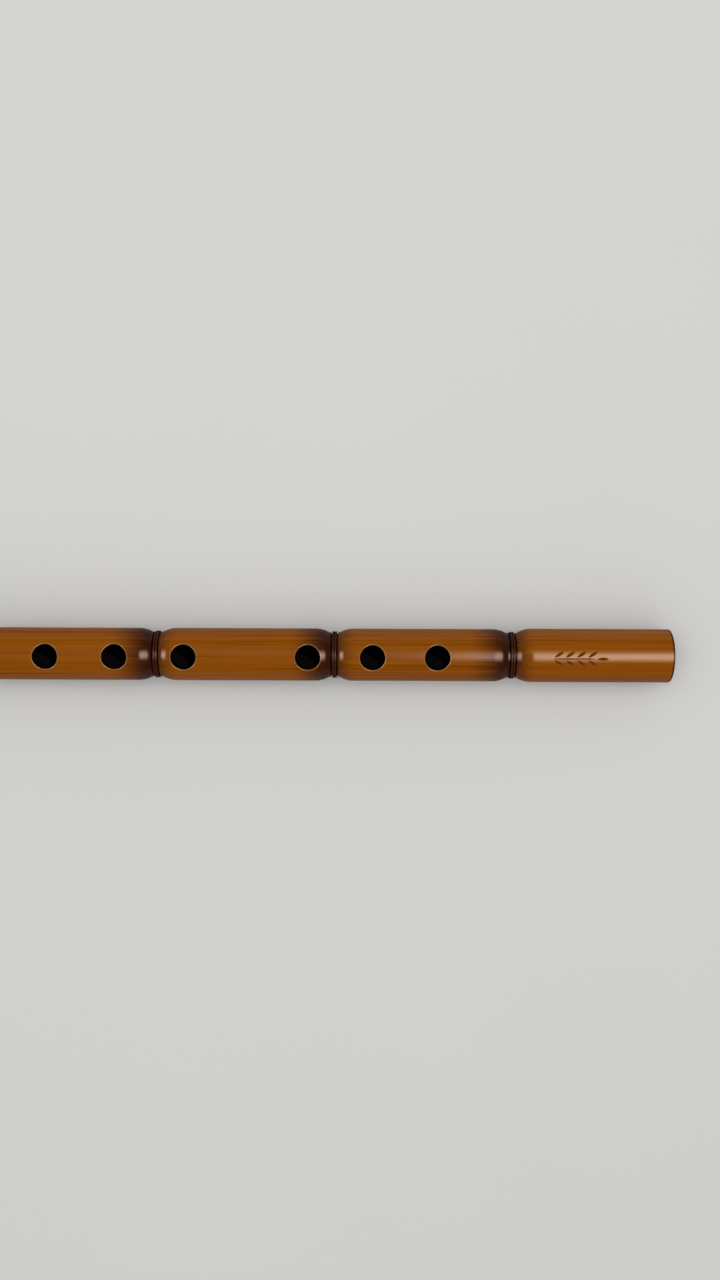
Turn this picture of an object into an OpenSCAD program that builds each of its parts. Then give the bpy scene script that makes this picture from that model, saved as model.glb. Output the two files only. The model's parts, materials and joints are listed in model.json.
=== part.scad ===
// Rim-blown cane flute of nine segments, with six finger holes and a thumb hole.
// The bore axis is the X axis, the centre of the foot face is the origin, and the head points to -X.
// The finger holes face +Z. All sizes are in millimetres.

/* [Overall] */
// Length from the foot face to the lip of the mouthpiece
total_length = 700; // [680:1:720]
// Diameter of the barrels between the nodes
barrel_d = 23.1; // [22.6:0.1:23.6]
// Diameter of the foot segment, which is a little stouter
foot_d = 23.6; // [23.2:0.1:24.4]
// Diameter of the bore between the nodes
bore_d = 16.6; // [16:0.1:17]

/* [Nodes] */
// Distance from the foot face to the first node
foot_segment = 69.9; // [66:0.1:74]
// Distance from one node to the next
node_pitch = 78; // [76:0.5:80]
// Number of nodes, one fewer than the segments
node_count = 8; // [8:1:8]
// Diameter of the waist that is worked down at each node
waist_d = 19.9; // [19.5:0.1:20.5]
// Length of the waist between its two shoulders
waist_length = 4.8; // [4:0.1:5.5]
// Radius of the arc that rounds each shoulder
shoulder_r = 12; // [10:0.5:16]
// Diameter of the opening burned through the wall inside each node
diaphragm_d = 14.4; // [13:0.1:15]
// Thickness of the ledge that is left of that wall
diaphragm_t = 2.4; // [1.5:0.1:3]

/* [Finger holes] */
// Diameter of the finger holes and the thumb hole
hole_d = 10.8; // [9:0.1:11]
// Distance from the foot face to the lowest finger hole
first_hole = 103; // [100:0.1:106]
// Step between the three holes of the lower hand
lower_step = 28.2; // [27:0.1:29]
// Gap between the lower and the upper hand's holes
hand_gap = 54; // [50:0.1:56]
// Step between the three holes of the upper hand
upper_step = 30; // [29:0.1:31]

/* [Bindings] */
// Thickness of the binding cord
cord_d = 1; // [0.9:0.05:1.1]
// How far the cord stands above the waist
cord_proud = 0.45; // [0.3:0.05:0.5]
// Width of the groove that is left open at each side of the cord
cord_groove = 0.6; // [0.4:0.05:0.7]

/* [Head] */
// Length that the mouthpiece adds beyond the cane
mouthpiece_height = 22; // [20:0.5:24]
// Largest diameter of the mouthpiece
mouthpiece_d = 30.6; // [28:0.2:32]
// Diameter of the blowing opening at the lip
lip_d = 15.6; // [14.6:0.2:16]
// Diameter of the air passage through the mouthpiece
throat_d = 12.4; // [12:0.2:12.8]
// Length of the tenon that plugs into the cane
tenon_length = 18; // [15:0.5:20]
// Outer diameter of the ferrule round the head end
ferrule_d = 24.2; // [23.9:0.1:24.6]
// Length of the ferrule
ferrule_length = 14; // [11:0.5:16]

/* [Hidden] */
$fn = 96;

cane_colour = [0.55, 0.30, 0.07];
cord_colour = [0.20, 0.08, 0.05];
brass_colour = [0.80, 0.62, 0.28];
horn_colour = [0.12, 0.09, 0.08];
thread_colour = [0.80, 0.74, 0.60];

// The cane and its nodes, as distances from the foot face
cane_length = total_length - mouthpiece_height;
node_at = [for (i = [0 : node_count - 1]) foot_segment + i * node_pitch];
foot_round = 0.8;
waist_r = waist_d / 2;
bore_r = bore_d / 2;
diaphragm_r = diaphragm_d / 2;
shoulder_steps = 8;

// Two turns of cord lie side by side in a channel that is cut into the waist
turn_pitch = cord_d + 0.04;
cord_clear = 0.02;
cord_ring_r = waist_r + cord_proud - cord_d / 2;
seat_r = cord_ring_r - cord_d / 2 - cord_clear;
seat_half = turn_pitch / 2 + cord_d / 2 + cord_groove;

// Finger holes, counted from the foot, and the thumb hole at half the sounding length
lower_hand = [for (i = [0 : 2]) first_hole + i * lower_step];
upper_hand = [for (i = [0 : 2]) lower_hand[2] + hand_gap + i * upper_step];
finger_holes = concat(lower_hand, upper_hand);
thumb_hole = total_length / 2;

// The ferrule is let into the head end of the cane, and has a bead near each edge
ferrule_wall = 0.8;
ferrule_seat_r = ferrule_d / 2 - ferrule_wall;
ferrule_bead_r = 0.35;
ferrule_bead_inset = 1.6;
fit_gap = 0.02;

// How far a cutter runs past what it cuts
over = 1;

// Mouthpiece: a collar as wide as the cane, a narrower neck, a flare, a rounded rim and a cone up to the lip
collar_gap = 0.1;
collar_edge = 0.5;
collar_length = 2.5;
neck_inset = 0.4;
flare_length = 12.5;
flare_power = 2.2;
flare_steps = 12;
rim_round = 2.4;
lip_land = 0.6;
throat_taper = 11;

// Tenon and its lapping of thread, which turns and slides in the bore with a close running fit
lapping_length = 12;
lapping_start = 3;
lapping_clear = 0.05;
tenon_collar_r = bore_r - 0.15;
lapping_outer_r = bore_r - lapping_clear;
lapping_inner_r = bore_r - 0.65;
tenon_waist_r = lapping_inner_r - 0.03;
lapping_end_gap = 0.1;

// Carved sprig of leaves on the foot segment
sprig_start = 28.5;
sprig_length = 25;
sprig_depth = 0.5;
leaf_pairs = 4;
leaf_length = 5.6;
leaf_width = 1.5;
leaf_angle = 33;
stem_width = 0.7;
stem_overlap = 1;

// Distance along the axis that a shoulder takes to drop from a barrel of radius r to the waist
function shoulder_run(r) = sqrt(2 * shoulder_r * (r - waist_r) - pow(r - waist_r, 2));

// Points [distance, radius] down a shoulder whose arc leaves a barrel of radius r, at the node at n.
// side is -1 on the foot side of the node and 1 on its head side; the points run towards the node.
function shoulder(n, r, side) = [
    for (i = [0 : shoulder_steps])
        let (s = shoulder_run(r) * i / shoulder_steps)
        [
            n + side * (waist_length / 2 + shoulder_run(r) - s),
            r - shoulder_r + sqrt(pow(shoulder_r, 2) - pow(s, 2)),
        ]
];

function reversed(points) = [for (i = [len(points) - 1 : -1 : 0]) points[i]];

// The outline at one node, from its foot side to its head side, with the channel for the cord
function node_outline(i) = let (n = node_at[i], r_foot = i == 0 ? foot_d / 2 : barrel_d / 2) concat(
    shoulder(n, r_foot, -1),
    [[n - seat_half, waist_r], [n - seat_half, seat_r], [n + seat_half, seat_r], [n + seat_half, waist_r]],
    reversed(shoulder(n, barrel_d / 2, 1))
);

// The ledge inside one node, from its head side to its foot side, with a taper on both faces
function diaphragm_outline(i) = let (n = node_at[i], h = diaphragm_t / 2, t = bore_r - diaphragm_r) [
    [n + h + t, bore_r], [n + h, diaphragm_r], [n - h, diaphragm_r], [n - h - t, bore_r],
];

// The rounded edge of the foot, from its face to the barrel
function foot_edge() = [
    for (a = [0 : 15 : 90])
        [foot_round * (1 - cos(a)), foot_d / 2 - foot_round * (1 - sin(a))]
];

// A profile of [distance from the foot, radius] turned about the bore axis
module turned(profile) {
    rotate([0, -90, 0]) rotate_extrude() polygon([for (p = profile) [p[1], p[0]]]);
}

// A round rod on the bore axis between two distances from the foot
module axial_rod(from, to, r) {
    translate([-from, 0, 0]) rotate([0, -90, 0]) cylinder(h = to - from, r = r);
}

// A radial hole at a distance from the foot, towards +Z or, with side -1, towards -Z
module radial_hole(at, side = 1) {
    translate([-at, 0, 0]) rotate([side > 0 ? 0 : 180, 0, 0]) cylinder(h = barrel_d, d = hole_d);
}

// The lens-shaped outline of one leaf, with its stalk at the origin
module leaf() {
    arc_r = (pow(leaf_length / 2, 2) + pow(leaf_width / 2, 2)) / leaf_width;
    translate([leaf_length / 2, 0]) intersection() {
        translate([0, arc_r - leaf_width / 2]) circle(r = arc_r);
        translate([0, leaf_width / 2 - arc_r]) circle(r = arc_r);
    }
}

// The sprig's outline: a stem, pairs of leaves and one leaf at its tip
module sprig() {
    stem_length = sprig_length - leaf_length + stem_overlap;
    pair_step = (stem_length - stem_overlap) / leaf_pairs;
    translate([0, -stem_width / 2]) square([stem_length, stem_width]);
    for (i = [0 : leaf_pairs - 1], side = [-1, 1]) {
        translate([stem_overlap + i * pair_step, 0]) rotate(side * leaf_angle) leaf();
    }
    translate([stem_length - stem_overlap, 0]) leaf();
}

// The sprig as a shallow recess that follows the round of the foot segment
module sprig_recess() {
    difference() {
        translate([-sprig_start - sprig_length, 0, bore_r])
            linear_extrude(height = foot_d / 2 - bore_r + over) sprig();
        axial_rod(0, foot_segment, foot_d / 2 - sprig_depth);
    }
}

// The cane: barrels between worked nodes, a bore with ledges at the nodes, and the seat of the ferrule
module cane_tube() {
    outline = concat(
        foot_edge(),
        [for (i = [0 : node_count - 1]) each node_outline(i)],
        [
            [cane_length - ferrule_length, barrel_d / 2],
            [cane_length - ferrule_length, ferrule_seat_r],
            [cane_length, ferrule_seat_r],
            [cane_length, bore_r],
        ],
        [for (i = [node_count - 1 : -1 : 0]) each diaphragm_outline(i)],
        [[0, bore_r]]
    );
    color(cane_colour) difference() {
        turned(outline);
        for (at = finger_holes) radial_hole(at);
        radial_hole(thumb_hole, -1);
        sprig_recess();
    }
}

// Two turns of cord round the waist of node i
module node_binding(i) {
    color(cord_colour) for (side = [-1, 1]) {
        translate([-node_at[i] + side * turn_pitch / 2, 0, 0]) rotate([0, -90, 0])
            rotate_extrude() translate([cord_ring_r, 0]) circle(d = cord_d, $fn = 32);
    }
}

// The ferrule: a thin tube with a turned bead near each edge, flush with the head end of the cane
module head_ferrule() {
    start = cane_length - ferrule_length + fit_gap;
    color(brass_colour) difference() {
        union() {
            axial_rod(start, cane_length, ferrule_d / 2);
            for (at = [start + ferrule_bead_inset, cane_length - ferrule_bead_inset]) {
                translate([-at, 0, 0]) rotate([0, -90, 0])
                    rotate_extrude() translate([ferrule_d / 2, 0]) circle(r = ferrule_bead_r, $fn = 24);
            }
        }
        axial_rod(start - over, cane_length + over, ferrule_seat_r + fit_gap);
    }
}

// The thread wound round the tenon, as a closed sleeve
module tenon_lapping() {
    from = cane_length - lapping_start - lapping_length;
    color(thread_colour) difference() {
        axial_rod(from, from + lapping_length, lapping_outer_r);
        axial_rod(from - over, from + lapping_length + over, lapping_inner_r);
    }
}

// The mouthpiece: a flared horn cup with a lip, a tapered throat, and a tenon with a recess for the lapping
module mouthpiece() {
    seat = cane_length + collar_gap;
    neck = seat + collar_length + collar_edge;
    neck_r = barrel_d / 2 - neck_inset;
    rim_at = neck + flare_length;
    rim_r = mouthpiece_d / 2;
    recess_from = cane_length - lapping_start - lapping_length - lapping_end_gap;
    recess_to = cane_length - lapping_start + lapping_end_gap;
    flare = [
        for (i = [0 : flare_steps])
            let (t = i / flare_steps)
            [neck + t * flare_length, neck_r + (rim_r - neck_r) * pow(t, flare_power)]
    ];
    rim = [
        for (a = [10 : 15 : 70])
            [rim_at + rim_round * sin(a), rim_r - rim_round * (1 - cos(a))]
    ];
    profile = concat(
        [
            [cane_length - tenon_length, throat_d / 2],
            [cane_length - tenon_length, tenon_collar_r],
            [recess_from, tenon_collar_r],
            [recess_from, tenon_waist_r],
            [recess_to, tenon_waist_r],
            [recess_to, tenon_collar_r],
            [seat, tenon_collar_r],
            [seat, barrel_d / 2 - collar_edge],
            [seat + collar_edge, barrel_d / 2],
            [seat + collar_length, barrel_d / 2],
        ],
        flare,
        rim,
        [
            [total_length, lip_d / 2 + lip_land],
            [total_length, lip_d / 2],
            [total_length - throat_taper, throat_d / 2],
        ]
    );
    color(horn_colour) turned(profile);
}

cane_tube();
for (i = [0 : node_count - 1]) {
    node_binding(i);
}
head_ferrule();
tenon_lapping();
mouthpiece();
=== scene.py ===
"""The looks of a lacquered cane flute: cane, bindings, ferrule, lapping, mouthpiece and stage."""

import json
import math

import bmesh
import bpy
from bpy.props import FloatProperty, FloatVectorProperty, IntProperty, PointerProperty
from mathutils import Matrix, Vector


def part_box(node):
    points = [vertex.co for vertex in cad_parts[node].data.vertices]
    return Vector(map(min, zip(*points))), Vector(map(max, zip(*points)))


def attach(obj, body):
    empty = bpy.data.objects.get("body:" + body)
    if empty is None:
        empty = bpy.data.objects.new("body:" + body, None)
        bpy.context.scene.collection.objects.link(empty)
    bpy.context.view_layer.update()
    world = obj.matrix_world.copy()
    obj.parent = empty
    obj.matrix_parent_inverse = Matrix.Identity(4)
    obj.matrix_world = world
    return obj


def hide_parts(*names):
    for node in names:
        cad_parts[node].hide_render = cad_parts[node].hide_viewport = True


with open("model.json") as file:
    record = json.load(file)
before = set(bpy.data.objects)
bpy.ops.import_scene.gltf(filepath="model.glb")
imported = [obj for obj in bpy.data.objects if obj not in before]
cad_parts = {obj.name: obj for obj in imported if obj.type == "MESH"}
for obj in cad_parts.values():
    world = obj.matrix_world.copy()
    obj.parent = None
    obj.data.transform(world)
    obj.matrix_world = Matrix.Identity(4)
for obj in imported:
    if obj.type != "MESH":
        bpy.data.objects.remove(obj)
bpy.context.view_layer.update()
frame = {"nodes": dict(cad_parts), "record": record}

bl_info = {
    "name": "Cane Flute",
    "version": (1, 0, 0),
    "blender": (4, 5, 0),
    "location": "3D View > Sidebar > Flute",
    "description": "Builds a lacquered nine-segment cane flute around its packed frame",
    "category": "Add Mesh",
}

MM = 0.001
RECORD = frame["record"]


# ---------------------------------------------------------------- sizes and places from the frame


def mount_radius(name):
    """The radius of one of the frame's round mounts."""
    return next(m["dims"]["r_mm"] for m in RECORD["mounts"] if m["name"] == name) * MM


def opening_distances(prefix):
    """How far from the foot each opening lies whose name starts with prefix, nearest first."""
    boxes = [o["box_m"] for o in RECORD["physics"]["openings"] if o["name"].startswith(prefix)]
    return sorted(-(low[0] + high[0]) / 2 for low, high in boxes)


def span(node):
    """The distances from the foot at which a node of the frame starts and ends."""
    low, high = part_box(node)
    return -high.x, -low.x


BINDINGS = sorted(name for name in frame["nodes"] if name.startswith("node_binding_"))
NODE_DISTANCES = [sum(span(name)) / 2 for name in BINDINGS]
FIRST_NODE = NODE_DISTANCES[0]
NODE_PITCH = (NODE_DISTANCES[-1] - FIRST_NODE) / (len(NODE_DISTANCES) - 1)
CANE_LENGTH = span("cane_tube")[1]
FERRULE_START, FERRULE_END = span("head_ferrule")
LAPPING_START, LAPPING_END = span("tenon_lapping")
TENON_END, LIP = span("mouthpiece")
FINGER_HOLES = opening_distances("finger_hole")
THUMB_HOLE = opening_distances("thumb_hole")[0]


# ---------------------------------------------------------------- settings


def chosen(settings, *keys):
    """Named inputs for a node tree, from the settings of the same names, or from all but colours."""
    keys = keys or [key for key in type(settings).__annotations__ if not key.endswith("colour")]
    return {key.replace("_", " ").capitalize(): getattr(settings, key) for key in keys}


def size(name, description, default):
    """A length that a user may change."""
    return FloatProperty(name=name, description=description, default=default, unit="LENGTH", precision=5)


def angle(name, description, degrees):
    """An angle that a user may change."""
    default = math.radians(degrees)
    return FloatProperty(name=name, description=description, default=default, subtype="ANGLE")


def number(name, description, default):
    """A plain number that a user may change."""
    return FloatProperty(name=name, description=description, default=default)


def colour(name, description, default):
    """A colour that a user may change."""
    return FloatVectorProperty(
        name=name, description=description, default=default, subtype="COLOR", size=3, min=0, max=1
    )


class CaneSettings(bpy.types.PropertyGroup):
    """Sizes and colours of the cane."""

    barrel_radius: size("Barrel radius", "Radius of the cane between its nodes", 11.55 * MM)
    foot_radius: size("Foot radius", "Radius of the foot segment", mount_radius("foot_barrel"))
    bore_radius: size("Bore radius", "Radius of the bore", mount_radius("foot_bore"))
    foot_round: size("Foot rounding", "Rounding of the foot's outer edge", 0.8 * MM)
    waist_radius: size("Waist radius", "Radius of the waist at each node", 9.95 * MM)
    waist_length: size("Waist length", "Length of the waist between its shoulders", 4.8 * MM)
    shoulder_radius: size("Shoulder radius", "Radius of the arc that rounds each shoulder", 12 * MM)
    channel_length: size("Channel length", "Length of the channel that holds a binding", 3.24 * MM)
    channel_radius: size("Channel radius", "Radius of the floor of that channel", 9.38 * MM)
    ledge_radius: size("Ledge radius", "Radius of the opening burned through each node", 7.2 * MM)
    ledge_length: size("Ledge length", "Thickness of the ledge that is left there", 2.4 * MM)
    ferrule_seat: size("Ferrule seat", "Radius of the head end under the ferrule", 11.3 * MM)
    hole_radius: size("Hole radius", "Radius of the finger holes", 5.4 * MM)
    hole_edge: size("Hole edge", "Width of the eased edge of each hole", 0.55 * MM)
    sprig_start: size("Sprig start", "Distance from the foot to the tip of the carved sprig", 28.5 * MM)
    sprig_length: size("Sprig length", "Length of the carved sprig", 25 * MM)
    leaf_length: size("Leaf length", "Length of one carved leaf", 5.6 * MM)
    carving_depth: size("Carving depth", "Depth of the carved sprig", 0.5 * MM)
    unevenness: size("Unevenness", "How far the hand-worked cane strays from round", 0.16 * MM)
    segments: IntProperty(name="Segments", description="Faces round the cane", default=144, min=48, max=192)
    cane_colour: colour("Cane", "Lacquered cane between the nodes", (0.257, 0.069, 0.0003))
    pale_colour: colour("Pale fibre", "The palest fibres of the cane", (0.315, 0.099, 0.001))
    dark_colour: colour("Dark fibre", "The darkest fibres of the cane", (0.165, 0.039, 0.0004))
    scorch_and_shade_colour: colour("Scorch", "Cane that is scorched at a node", (0.036, 0.0070, 0.0020))
    raw_colour: colour("Raw cane", "Bare cane at a cut edge", (0.36, 0.19, 0.07))
    char_and_shade_colour: colour("Char", "Charred cane inside the holes and the bore", (0.0030, 0.0020, 0.0020))
    carving_shade_colour: colour("Carving", "Dark lacquer in the carved sprig", (0.05, 0.010, 0.002))
    sawn_colour: colour("Sawn cane", "The face at the foot, between its fibres", (0.15, 0.066, 0.022))
    fibre_end_colour: colour("Fibre ends", "The cut fibres in that face", (0.030, 0.011, 0.004))
    mouth_colour: colour("Bore mouth", "The bore just inside the foot", (0.07, 0.028, 0.011))


class BindingSettings(bpy.types.PropertyGroup):
    """Sizes and colours of the cord that binds each node."""

    cord_radius: size("Cord radius", "Radius of the cord over its strands", 0.5 * MM)
    winding_radius: size("Winding radius", "Radius of the winding at the middle of the cord", 9.9 * MM)
    turns: IntProperty(name="Turns", description="Turns of cord at each node", default=2, min=1, max=3)
    turn_pitch: size("Turn pitch", "Distance between two turns", 1.04 * MM)
    strands: IntProperty(name="Strands", description="Strands in the cord", default=3, min=2, max=4)
    lay: size("Lay", "Length of cord in which a strand goes round once", 3.4 * MM)
    cord_colour: colour("Cord", "Cord under dark lacquer", (0.052, 0.0105, 0.0028))


class HeadSettings(bpy.types.PropertyGroup):
    """Sizes and colours of the ferrule, the lapping and the mouthpiece."""

    thread_radius: size("Thread radius", "Radius of the lapping's thread", 0.22 * MM)
    lapping_radius: size("Lapping radius", "Outer radius of the lapping", 8.25 * MM)
    tenon_radius: size("Tenon radius", "Radius of the tenon under the lapping", 7.62 * MM)
    brass_colour: colour("Brass", "Turned brass of the ferrule", (0.62, 0.40, 0.13))
    tarnish_colour: colour("Tarnish", "Tarnish in the ferrule's turned lines", (0.16, 0.085, 0.03))
    thread_colour: colour("Thread", "Waxed thread", (0.52, 0.40, 0.22))
    horn_colour: colour("Horn", "Dark horn of the mouthpiece", (0.011, 0.0065, 0.0045))
    streak_colour: colour("Horn streak", "Pale streaks in the horn", (0.19, 0.085, 0.030))


class StageSettings(bpy.types.PropertyGroup):
    """Floor, lights and camera."""

    floor_colour: colour("Floor", "Pale floor", (0.675, 0.675, 0.665))
    key_power: number("Key light", "Power of the large light", 15.8)
    gloss_power: number("Highlight", "Power of the highlight's lamp", 68.0)
    side_power: number("Side light", "Power of the lamp on the left", 30.0)
    sky_strength: number("Room", "Strength of the room's own light", 0.70)
    camera_distance: size("Camera distance", "From the camera to the bore's axis", 531 * MM)
    camera_middle: size("Camera middle", "Distance from the foot to what the camera faces", 136.7 * MM)
    camera_rise: size("Camera rise", "How far the picture's middle lies above the flute", 6.5 * MM)
    camera_lean: angle("Camera lean", "Angle from straight above", 6.7)
    camera_roll: angle("Camera roll", "Turn about the line of sight", 0.23)
    lens: number("Lens", "Focal length in millimetres", 33.75)


# ---------------------------------------------------------------- node trees


def pick(sockets, key):
    """The socket at an index, or with an identifier, or else with a name."""
    if isinstance(key, int):
        return sockets[key]
    named = [s for s in sockets if s.identifier == key] or [s for s in sockets if s.name == key]
    return named[0]


def operator(operation, swapped=False):
    """A Python operator that adds a Math node."""

    def method(self, other):
        return self.tree.maths(operation, *((other, self) if swapped else (self, other)))

    return method


class Value:
    """A node's output in a Python expression. Each operator adds a Math node."""

    def __init__(self, tree, socket):
        self.tree = tree
        self.socket = socket

    __add__ = __radd__ = operator("ADD")
    __sub__, __rsub__ = operator("SUBTRACT"), operator("SUBTRACT", swapped=True)
    __mul__ = __rmul__ = operator("MULTIPLY")
    __truediv__, __rtruediv__ = operator("DIVIDE"), operator("DIVIDE", swapped=True)
    __pow__ = operator("POWER")
    __lt__, __gt__ = operator("LESS_THAN"), operator("GREATER_THAN")

    def __neg__(self):
        return self * -1.0

    def __abs__(self):
        return self.tree.maths("ABSOLUTE", self)


class Tree:
    """A node tree that is written as Python expressions."""

    def __init__(self, group):
        self.group = group

    def node(self, kind, values=(), out=0, stops=None, **settings):
        """Adds a node with its settings, sets or links its inputs, and returns its output, or several."""
        made = self.group.nodes.new(kind)
        for name, setting in settings.items():
            setattr(made, name, setting)
        if stops:
            ramp = made.color_ramp.elements
            while len(ramp) < len(stops):
                ramp.new(1.0)
            for element, (place, shade) in zip(ramp, stops):
                element.position = place
                element.color = (*shade, 1.0)
        for key, value in values.items() if isinstance(values, dict) else enumerate(values):
            self.feed(pick(made.inputs, key), value)
        if isinstance(out, tuple):
            return [Value(self, pick(made.outputs, key)) for key in out]
        return Value(self, pick(made.outputs, out))

    def feed(self, socket, value):
        """Links or sets one input socket. A list is linked item by item."""
        if isinstance(value, list):
            for item in value:
                self.group.links.new(item.socket, socket)
        elif isinstance(value, Value):
            self.group.links.new(value.socket, socket)
        elif socket.type == "RGBA" and len(value) == 3:
            socket.default_value = (*value, 1.0)
        else:
            socket.default_value = value

    def maths(self, operation, *values):
        return self.node("ShaderNodeMath", values, operation=operation)

    def root(self, value):
        return self.maths("SQRT", self.maths("MAXIMUM", value, 0.0))

    def clamped(self, value, low=0.0, high=1.0):
        return self.node("ShaderNodeClamp", (value, low, high))

    def eased(self, value, start, end, low=0.0, high=1.0):
        """A smooth step from low, where value is start, to high, where it is end."""
        return self.node(
            "ShaderNodeMapRange", (value, start, end, low, high), interpolation_type="SMOOTHSTEP"
        )

    def vector(self, x=0.0, y=0.0, z=0.0):
        return self.node("ShaderNodeCombineXYZ", (x, y, z))

    def parts(self, vector):
        return self.node("ShaderNodeSeparateXYZ", (vector,), out=(0, 1, 2))

    def scaled(self, vector, factor):
        return self.node("ShaderNodeVectorMath", {0: vector, "Scale": factor}, operation="SCALE")

    def noise(self, vector, scale=1.0, detail=2.0, roughness=0.5):
        values = {"Vector": vector, "Scale": scale, "Detail": detail, "Roughness": roughness}
        return self.node("ShaderNodeTexNoise", values)

    def mixed(self, factor, first, second):
        """A colour between two colours."""
        return self.node(
            "ShaderNodeMix",
            {"Factor_Float": factor, "A_Color": first, "B_Color": second},
            out="Result_Color",
            data_type="RGBA",
        )

    def bump(self, strength, depth, height):
        """A normal that is pushed about by a height of -1 to 1, over a depth in millimetres."""
        values = {"Strength": strength, "Distance": depth * MM, "Height": height}
        return self.node("ShaderNodeBump", values, out="Normal")

    def shown_by(self, shader, output):
        """Ends the tree with its output node."""
        self.group.links.new(shader.socket, self.group.nodes.new(output).inputs["Surface"])


class GeometryTree(Tree):
    """A geometry node tree with named inputs for its sizes."""

    SOCKETS = {int: "NodeSocketInt", float: "NodeSocketFloat", bpy.types.Material: "NodeSocketMaterial"}

    def __init__(self, name, sizes):
        super().__init__(bpy.data.node_groups.new(name, "GeometryNodeTree"))
        self.sizes = sizes
        self.group.interface.new_socket("Geometry", in_out="OUTPUT", socket_type="NodeSocketGeometry")
        for key, value in sizes.items():
            kind = next(s for t, s in self.SOCKETS.items() if isinstance(value, t))
            self.group.interface.new_socket(key, in_out="INPUT", socket_type=kind)
        self.entry = self.group.nodes.new("NodeGroupInput")

    def __getitem__(self, name):
        return Value(self, self.entry.outputs[name])

    def line(self, count, start, end):
        """Points on the bore axis between two distances from the foot."""
        return self.node(
            "GeometryNodeMeshLine",
            {"Count": count, "Start Location": self.vector(-start), "Offset": self.vector(-end)},
            mode="END_POINTS",
        )

    def row(self, count, first, step):
        """Evenly spaced points, as vectors."""
        values = {"Count": count, "Start Location": first, "Offset": step}
        return self.node("GeometryNodeMeshLine", values, mode="OFFSET")

    def join(self, *parts):
        return self.node("GeometryNodeJoinGeometry", (list(parts),))

    def copies(self, points, instance, **values):
        named = {key.capitalize(): value for key, value in values.items()}
        values = {"Points": points, "Instance": instance, **named}
        return self.node("GeometryNodeInstanceOnPoints", values)

    def real(self, geometry):
        return self.node("GeometryNodeRealizeInstances", (geometry,))

    def without(self, points, selection):
        values = {"Geometry": points, "Selection": selection}
        return self.node("GeometryNodeDeleteGeometry", values, domain="POINT")

    def position(self):
        return self.node("GeometryNodeInputPosition")

    def here(self):
        return self.parts(self.position())

    def index(self):
        return self.node("GeometryNodeInputIndex")

    def moved(self, geometry, **values):
        """The geometry with its points at a position, or moved by an offset."""
        named = {key.capitalize(): value for key, value in values.items()}
        return self.node("GeometryNodeSetPosition", {"Geometry": geometry, **named})

    def placed(self, geometry, **values):
        """The geometry moved, turned or scaled as a whole."""
        named = {key.capitalize(): value for key, value in values.items()}
        return self.node("GeometryNodeTransform", {"Geometry": geometry, **named})

    def curve_through(self, points, weight):
        """One curve through points, in the order of their weight."""
        cloud = self.node("GeometryNodeMeshToPoints", (points,))
        return self.node("GeometryNodePointsToCurves", {"Points": cloud, "Weight": weight}, out="Curves")

    def swept(self, curve, profile, scale=1.0, caps=False):
        return self.node(
            "GeometryNodeCurveToMesh",
            {"Curve": curve, "Profile Curve": profile, "Scale": scale, "Fill Caps": caps},
        )

    def circle(self, resolution, radius=1.0):
        return self.node("GeometryNodeCurvePrimitiveCircle", {"Resolution": resolution, "Radius": radius})

    def finished(self, geometry, crease):
        """Ends the tree: smooth faces, edges sharp past the crease, real geometry and its material."""
        kind = "GeometryNodeSetShadeSmooth"
        smooth = self.node(kind, {"Geometry": geometry, "Shade Smooth": True}, domain="FACE")
        sharp = self.node("GeometryNodeInputMeshEdgeAngle") > crease
        values = {"Geometry": smooth, "Selection": sharp, "Shade Smooth": False}
        smooth = self.node(kind, values, domain="EDGE")
        painted = {"Geometry": self.real(smooth), "Material": self["Material"]}
        painted = self.node("GeometryNodeSetMaterial", painted)
        self.group.links.new(painted.socket, self.group.nodes.new("NodeGroupOutput").inputs[0])

    def grown(self, name):
        """A plain mesh object made by this tree."""
        holder = shown(name, bpy.data.meshes.new(name))
        modifier = holder.modifiers.new(name, "NODES")
        modifier.node_group = self.group
        for item in self.group.interface.items_tree:
            if item.in_out == "INPUT":
                modifier[item.identifier] = self.sizes[item.name]
        bpy.context.view_layer.update()
        evaluated = holder.evaluated_get(bpy.context.evaluated_depsgraph_get())
        mesh = bpy.data.meshes.new_from_object(evaluated)
        mesh.name = name
        holder.modifiers.remove(modifier)
        holder.data = mesh
        if not mesh.polygons:
            raise RuntimeError(f"{name} came out empty")
        return holder


# ---------------------------------------------------------------- piece helpers


def shown(name, data):
    """A new object at the origin."""
    made = bpy.data.objects.new(name, data)
    bpy.context.scene.collection.objects.link(made)
    return made


def plain_mesh(name, mesh, paint):
    """An object of one material from a finished bmesh."""
    data = bpy.data.meshes.new(name)
    mesh.to_mesh(data)
    mesh.free()
    data.materials.append(paint)
    return shown(name, data)


def outward(piece):
    """Turns a closed mesh the right way round if its faces point inwards."""
    mesh = bmesh.new()
    mesh.from_mesh(piece.data)
    open_edges = sum(1 for edge in mesh.edges if not edge.is_manifold)
    if open_edges:
        raise RuntimeError(f"{piece.name} has {open_edges} open edges")
    if mesh.calc_volume(signed=True) < 0:
        bmesh.ops.reverse_faces(mesh, faces=mesh.faces)
        mesh.to_mesh(piece.data)
    mesh.free()
    return piece


def fitted(piece, body, slot, *nodes):
    """Puts a finished piece on its body, in place of its nodes of the frame."""
    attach(piece, body)
    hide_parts(*nodes)
    return piece


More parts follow.
